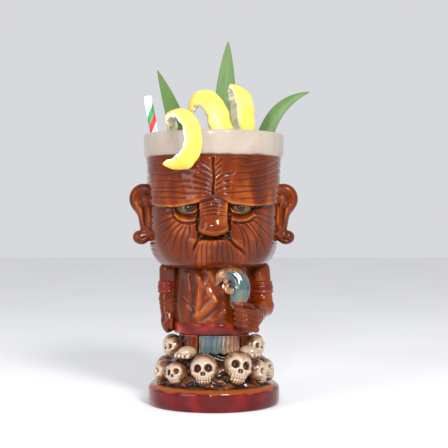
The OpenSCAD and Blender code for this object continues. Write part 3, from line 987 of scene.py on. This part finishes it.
def foot_field(side, p):
    """A broad foot with four toes over its front edge."""
    angle = BODY_TURN + math.radians(43 if side > 0 else -45)
    middle = (FOOT_R * math.sin(angle), -FOOT_R * math.cos(angle), BELT_Z - 12)
    q = turned(p, middle, BODY_TURN + side * math.radians(43))
    total = egg(q, (0, 3.4, 0.6), (6, 7.4, 4.4))
    for x in (-4.3, -1.4, 1.5, 4.4):
        toe = rod(q, (x * 0.9, 0, 0.4), (x * 1.05, -3.6 + 0.036 * x * x, -1.2), 1.75, 1.6)
        total = join(total, toe, 0.35)
    return total


def skull_field(width, height, pose, p):
    """A skull that stands on its teeth, in its own frame, with its face towards -Y."""
    r = width / 2
    mid = height - r
    q = turned(p, *pose)
    x, y, z = coordinates(q)
    head = egg(q, (0, 0.06 * r, mid), (0.985 * r, 1.03 * r, 0.96 * r))
    face = egg(q, (0, -0.42 * r, 0.62 * mid), (0.66 * r, 0.52 * r, 0.62 * mid))
    chin = egg(q, (0, -0.42 * r, 0.3 * mid), (0.5 * r, 0.42 * r, 0.3 * mid))
    total = merged(head, (face, 0.22 * r), (chin, 0.12 * r))
    for s in (-r, r):
        cheek = egg(q, (0.6 * s, -0.56 * r, 0.72 * mid), (0.24 * r, 0.28 * r, 0.17 * r))
        total = join(total, cheek, 0.2 * r)
    for s in (-r, r):
        socket = egg(q, (0.39 * s, -0.98 * r, 0.98 * mid), (0.29 * r, 0.62 * r, 0.29 * r))
        nostril = egg(q, (0.09 * s, -1.02 * r, 0.66 * mid), (0.1 * r, 0.3 * r, 0.16 * r))
        total = cut(cut(total, socket, 0.1 * r), nostril, 0.05 * r)
    low = smooth(0.52, 0.44, z / mid) * smooth(-0.1 * r, -0.4 * r, y)
    gaps = 0.032 * r * hump(np.mod(x / (0.19 * r) + 0.5, 1) - 0.5, 0.16)
    bite = 0.04 * r * hump(z / mid - 0.27, 0.035) * smooth(0.72 * r, 0.5 * r, np.abs(x))
    return total + low * gaps + smooth(0, -0.3 * r, y) * bite


def skull_stain(width, height, pose, seed, points):
    """Glaze stays on the skull's outline and back and has run off its face; its holes are dark."""
    mid = height - width / 2
    q = turned(points, *pose)
    x, y, z = coordinates(q)
    drift = ripple(q, 6, seed)
    from_face = np.hypot(x, z - 0.45 * height) / (0.5 * height)
    outline = smooth(0.5, 1.25, from_face + 0.08 * drift)
    outline = np.maximum(outline, smooth(-0.5, 0.5, y / width + 0.096 * drift))
    socket = np.hypot(np.abs(x) - 0.195 * width, z - 0.98 * mid) / (0.145 * width)
    nose = np.hypot(x, z - 0.66 * mid) / (0.1 * width)
    dark = np.maximum(smooth(1.15, 0.75, socket), smooth(1.0, 0.6, nose)) * smooth(0, -0.2, y / width)
    return outline + 1.1 * dark


def make_skull(level, number, width, reach, *turns):
    """One skull, at its CAD node's bearing round the axis and with its own turns."""
    node = f"{level}_skull_{number}"
    low, high = span(node)
    x, y, _ = (low + high) / 2
    bearing = math.atan2(x, -y)
    spin, tip, roll = np.radians(turns)
    place = (reach * math.sin(bearing), -reach * math.cos(bearing), low[2])
    pose = (place, bearing + spin, tip, roll)
    height = high[2] - low[2]
    marks = {"stain": partial(skull_stain, width, height, pose, number)}
    field = partial(skull_field, width, height, pose)
    model(node, field, BONE, 0.36 if number < 3 else 0.42, 3.0, marks)


def make_eye(eye_x, eye_z):
    """An eyeball let into the head behind the brow, looking a little to its left and up."""
    middle = np.array([eye_x, 4.6 - math.sqrt(FACE_R ** 2 - eye_x ** 2), eye_z])

    def iris(points):
        return smooth(2.9, 2.3, np.hypot(points[:, 0] - eye_x - 0.4, points[:, 2] - eye_z - 0.2))

    node = "eye_left" if eye_x > 0 else "eye_right"
    ball_of_eye = partial(egg, centre=middle, radii=(7.0, 5.2, 5.0))
    model(node, ball_of_eye, OLIVE, 0.35, 8.0, {"iris": iris}, (middle, middle))


def make_figure():
    model("ear_left", partial(ear_field, 1), BROWN)
    model("ear_right", partial(ear_field, -1), BROWN)
    model("arm_right", right_arm_field, BROWN)
    model("arm_left", left_arm_field, BROWN, 0.4, 5.0)
    model("armband_right", partial(armband_field, RIGHT_ARM, 6.9), RED)
    model("armband_left", partial(armband_field, LEFT_ARM, 7.9), MAROON)
    model("crook", crook_field, BLUE, 0.36, 1.5, {"warm": crook_warmth})
    model("loincloth", loincloth_field, BLUE, 0.36, 1.5, {"warm": loincloth_warmth})
    for name, side in (("left", 1), ("right", -1)):
        model(f"leg_{name}", partial(leg_field, side), BROWN, pad=1.5)
        model(f"foot_{name}", partial(foot_field, side), BONE, 0.36, 2.5)


# ---- the garnish ----

STRAW_FOOT = np.array([-24.4, -3, CUP_FLOOR_Z + 0.9])
STRAW_TOP = np.array([-45.4, -3, 210])

PEEL_T = 4.5
RIND_T = 1.0
PEEL_BOW = 0.08
# The cut side of a peel: places across it, and how deep each is, as shares of its half width and thickness.
PEEL_SIDE = ((1.0, 0.72), (0.99, 0.42), (0.985, 0.235), (1.0, 0.2), (0.99, 0.07))
PITH_DEPTH = 0.22

# Each peel: its path, the hub it curls round, its flank's direction, its lean in degrees, its width and
# the share of the width at its two ends.
PEELS = {
    "peel_front": (
        [(-27, -15, 177), (-32, -20, 187), (-31.5, -28, 198), (-25, -39, 197.8), (-17, -51, 197.5),
         (-10.5, -57.5, 188), (-11, -60, 175), (-12, -62, 162), (-21, -60.5, 156), (-32.5, -54.5, 160.5)],
        (-25, -52, 176), (-0.35, -0.9, 0.15), 25, 14, (0.6, 0.3)),
    "peel_middle": (
        [(-12, 24, 101.4), (-12.4, 24, 130), (-13.5, 21, 158), (-15.5, 12, 182), (-21, 2, 202),
         (-17.5, -3, 211.5), (-8, -8, 210.5), (1.5, -13, 209.5), (6.5, -17, 194), (6.5, -19, 176)],
        (-7, -8, 184), (-0.35, -0.94, 0), 45, 16, (0.5, 0.7)),
    "peel_right": (
        [(18, 21, 101.4), (18, 21, 130), (19, 20, 160), (19.5, 15, 184), (20, 11, 200),
         (15.5, 6, 216.5), (17.5, -2, 217), (20.5, -9, 217.5), (24.5, -15, 207), (24.5, -15, 176)],
        (20, 0, 190), (-0.97, -0.25, 0), -24, 13.5, (0.55, 0.7)),
}

# Each leaf: its path, the direction across it, its width at the foot and at its widest, and where that is.
LEAVES = {
    "leaf_left": (
        [(-10, 30, 103.2), (-10, 34, 140), (-19, 31, 182), (-39.4, 15, 230.4)], (1, 0.1, 0.35), 8, 15, 0.62),
    "leaf_middle": (
        [(5, 27, 101.8), (6, 31, 150), (7, 30, 200), (10.4, 26, 252.6)], (1, -0.1, 0), 9, 15.5, 0.68),
    "leaf_right": (
        [(24, 4, 101.8), (26, 5, 170), (34, 5, 208), (66, 2, 213.8)], (0.8, -0.4, -0.5), 8, 12, 0.5),
}


def bezier_path(points, per_span):
    """Points along Bezier spans that share their ends."""
    p = np.array(points, float)
    t = np.linspace(0, 1, per_span, endpoint=False)[:, None]
    spans = [
        a * (1 - t) ** 3 + 3 * b * t * (1 - t) ** 2 + 3 * c * t * t * (1 - t) + d * t ** 3
        for a, b, c, d in zip(p[::3], p[1::3], p[2::3], p[3::3])
    ]
    return np.vstack(spans + [p[-1:]])


def strip(line, across, upper, lower):
    """A closed band swept along a line. upper and lower are (count, n, 2) grids of places across
    and out of the band, the first running left to right over the top and the other back beneath."""
    d = unit(np.gradient(line, axis=0))
    s = unit(across - d * np.sum(across * d, 1, keepdims=True))
    n = np.cross(s, d)
    section = np.concatenate([upper, lower], 1)
    points = line[:, None] + s[:, None] * section[..., :1] + n[:, None] * section[..., 1:]
    count, m = section.shape[:2]
    k = np.arange(m // 2 - 1)
    cap = np.stack([k, k + 1, m - 2 - k, m - 1 - k], -1)
    sides = grid_faces(count, m, False)[:, ::-1]
    return points, np.vstack([sides, cap, cap[:, ::-1] + (count - 1) * m])


def tapered(t, start, end, rate):
    """1 along the middle of a band, falling to start and end at its two ends."""
    return np.minimum(1, np.minimum(start + rate * t, end + rate * (1 - t)))


def make_peel(name, seed):
    """A strip cut from a lemon: thin bright rind outside, thick soft pith inside."""
    path, hub, flank, lean, full, ends = PEELS[name]
    line = bezier_path(path, 46)
    t = np.linspace(0, 1, len(line))[:, None]
    lean = math.radians(lean)
    across = unit(np.array(flank)) * math.cos(lean) - unit(line - hub) * math.sin(lean)
    width = full * tapered(t, *ends, 5) * tapered(t, 0.35, 0.35, 40)
    half = width / 2 - 0.25
    ragged = 0.35 * ripple(t * 100, 9, seed)[:, None]
    thick = PEEL_T * (0.86 + 0.1 * ripple(t * 100, 12, seed + 1))[:, None]
    thick = RIND_T + (thick - RIND_T) * tapered(t, 0.45, 0.45, 30)

    side, side_depth = np.array(PEEL_SIDE).T
    top = np.linspace(-0.93, 0.93, 15)
    u = np.concatenate([-side, top, side[::-1]])
    depth = np.concatenate([side_depth, 0 * top, side_depth[::-1]])
    place = u * (half + ragged * np.sign(u) * (np.abs(u) > 0.9))
    pores = 0.1 * ripple(stacked(t * 110, place), 2.1, seed + 3) * (depth == 0)
    upper = stacked(place, pores - PEEL_BOW * width * u ** 2 - depth * thick - 0.25)

    v = np.linspace(0.95, -0.95, len(u))
    below = v * (half - 0.4)
    bow = PEEL_BOW * width * v ** 2
    fuzz = 0.28 * ripple(stacked(t * 110, below), 5, seed + 4)
    lower = stacked(below, np.maximum(fuzz - thick * (0.985 - 0.16 * v ** 6), -PEEL_T) - bow)

    points, faces = strip(line, across, upper, lower)
    pith = np.concatenate([depth > PITH_DEPTH, np.ones(len(v))])
    build(f"{name}_cut", points, faces, LEMON, name, {"pith": np.tile(pith, len(line))}, name)


def make_leaf(name, seed):
    """A long pointed leaf, creased along its midrib, with fine parallel veins."""
    path, across, foot, full, peak = LEAVES[name]
    line = bezier_path(path, 150)
    t = np.linspace(0, 1, len(line))[:, None]
    rising = foot + (full - foot) * np.sin(np.pi / 2 * np.clip(t / peak, 0, 1))
    falling = full * np.clip(np.cos(np.pi / 2 * np.clip((t - peak) / (1 - peak), 0, 1)), 0, 1) ** 0.75
    width = np.where(t < peak, rising, np.maximum(0.5, falling))
    v = np.linspace(-1, 1, 27)
    fold = -0.14 * width * np.abs(v) ** 1.3
    vein = 0.05 * np.cos(v * np.pi * 9) - 0.12 * hump(v, 0.07)
    sway = 0.25 * ripple(stacked(t * 60, v * 3), 20, seed) * v ** 2
    top = fold + vein + sway - 0.1
    upper = stacked(0.49 * v * width, top)
    lower = upper[:, ::-1] - (0, 0.55)
    points, faces = strip(line, np.tile(np.array(across, float), (len(line), 1)), upper, lower)
    both = np.concatenate([v, v[::-1]])
    marks = {"across": np.tile(both, len(line)), "along": np.repeat(t, len(both))}
    build(f"{name}_blade", points, faces, LEAF, name, marks, name)


def make_straw():
    """A paper tube wound in a helix of one red and one green stripe."""
    outer, inner, bevel, lip = 2.8, 2.3, 0.1, 0.12
    pitch, stripe = 26.0, 3.2
    axis = STRAW_TOP - STRAW_FOOT
    length = np.linalg.norm(axis)
    axis = unit(axis)
    east = np.cross((0, 1, 0), axis)
    north = np.cross(axis, east)
    outside = [(outer, s) for s in np.linspace(0, length, 260)[2:-2]]
    inside = [(inner, length * k / 12) for k in range(11, 0, -1)]
    top = [(outer, length - lip), (outer - bevel, length), (inner + bevel, length), (inner, length - lip)]
    profile = [(outer - bevel, 0), (outer, lip), *outside, *top, *inside, (inner, lip), (inner + bevel, 0)]
    r, s = np.array(profile).T
    angles = np.linspace(0, 2 * np.pi, 40, endpoint=False)[:, None]
    spokes = east * np.cos(angles)[..., None] + north * np.sin(angles)[..., None]
    points = STRAW_FOOT + axis * s[:, None] + spokes * r[:, None]

    def wound(shift):
        away = np.abs(np.mod(s / pitch - angles / (2 * np.pi) + shift, 1) - 0.5) * pitch
        return smooth(stripe + 0.3, stripe - 0.3, away)

    # The inside of the tube is marked for painted shade.
    hidden = np.broadcast_to(r < outer - 2 * bevel, points.shape[:2])
    marks = {"red": wound(0.746), "green": wound(0.5), "inside": hidden}
    build("straw_tube", points, grid_faces(len(angles), len(profile)), PAPER, "straw", marks, "straw")


make_head()
make_rim()
make_disc()
make_mound()
make_torso()
make_belt()
make_figure()
for level, rows in SKULLS.items():
    for number, row in enumerate(rows, 1):
        make_skull(level, number, *row)
for eye in EYES:
    make_eye(*eye)
for order, name in enumerate(PEELS):
    make_peel(name, 40 + 10 * order)
for order, name in enumerate(LEAVES):
    make_leaf(name, 80 + order)
make_straw()


# ---- the room, in metres: floor, light and camera ----

def link(name, data):
    """An object made from data, in the scene."""
    thing = bpy.data.objects.new(name, data)
    bpy.context.scene.collection.objects.link(thing)
    return thing


def make_floor():
    half = 3.0
    mesh = bpy.data.meshes.new("floor")
    corners = [(-half, -half, 0), (half, -half, 0), (half, half, 0), (-half, half, 0)]
    mesh.from_pydata(corners, [], [(0, 1, 2, 3)])
    mesh.materials.append(painted("pale_floor", pale_floor))
    link("floor", mesh)


def softbox(name, place, height, size, power, colour=(1, 1, 1)):
    """A rectangular lamp that faces the cup's axis at a height."""
    lamp = bpy.data.lights.new(name, "AREA")
    lamp.shape = "RECTANGLE"
    lamp.size, lamp.size_y = size
    lamp.energy = power
    lamp.color = colour
    holder = link(name, lamp)
    holder.location = place
    holder.rotation_euler = (Vector((0, 0, height)) - Vector(place)).to_track_quat("-Z", "Y").to_euler()


def make_light():
    """Even studio light, with a key from the upper right that shows in the glaze."""
    world = bpy.data.worlds.new("studio")
    world.use_nodes = True
    background = world.node_tree.nodes["Background"]
    background.inputs["Color"].default_value = (0.95, 0.96, 1.0, 1)
    background.inputs["Strength"].default_value = 0.72
    bpy.context.scene.world = world
    softbox("key", (0.35, -0.9, 0.75), 0.12, (0.22, 0.3), 11.0)
    softbox("sparkle", (-0.06, -0.78, 0.36), 0.13, (0.045, 0.045), 1.8)
    softbox("fill", (-0.7, -0.7, 0.35), 0.1, (0.4, 0.6), 3.5, (0.96, 0.97, 1))


def make_camera():
    """Straight in front, level with the bridge of the nose."""
    distance = 0.740
    eye_height = 0.124
    lens = bpy.data.cameras.new("camera")
    lens.sensor_width = 36.0
    lens.lens = 86.4
    lens.shift_x = 0.0232
    lens.shift_y = -0.0045
    lens.clip_start = 0.01
    camera = link("camera", lens)
    camera.location = (0, -distance, eye_height)
    camera.rotation_euler = (math.pi / 2, 0, 0)
    bpy.context.scene.camera = camera


make_floor()
make_light()
make_camera()
bpy.context.scene.view_settings.view_transform = "Standard"
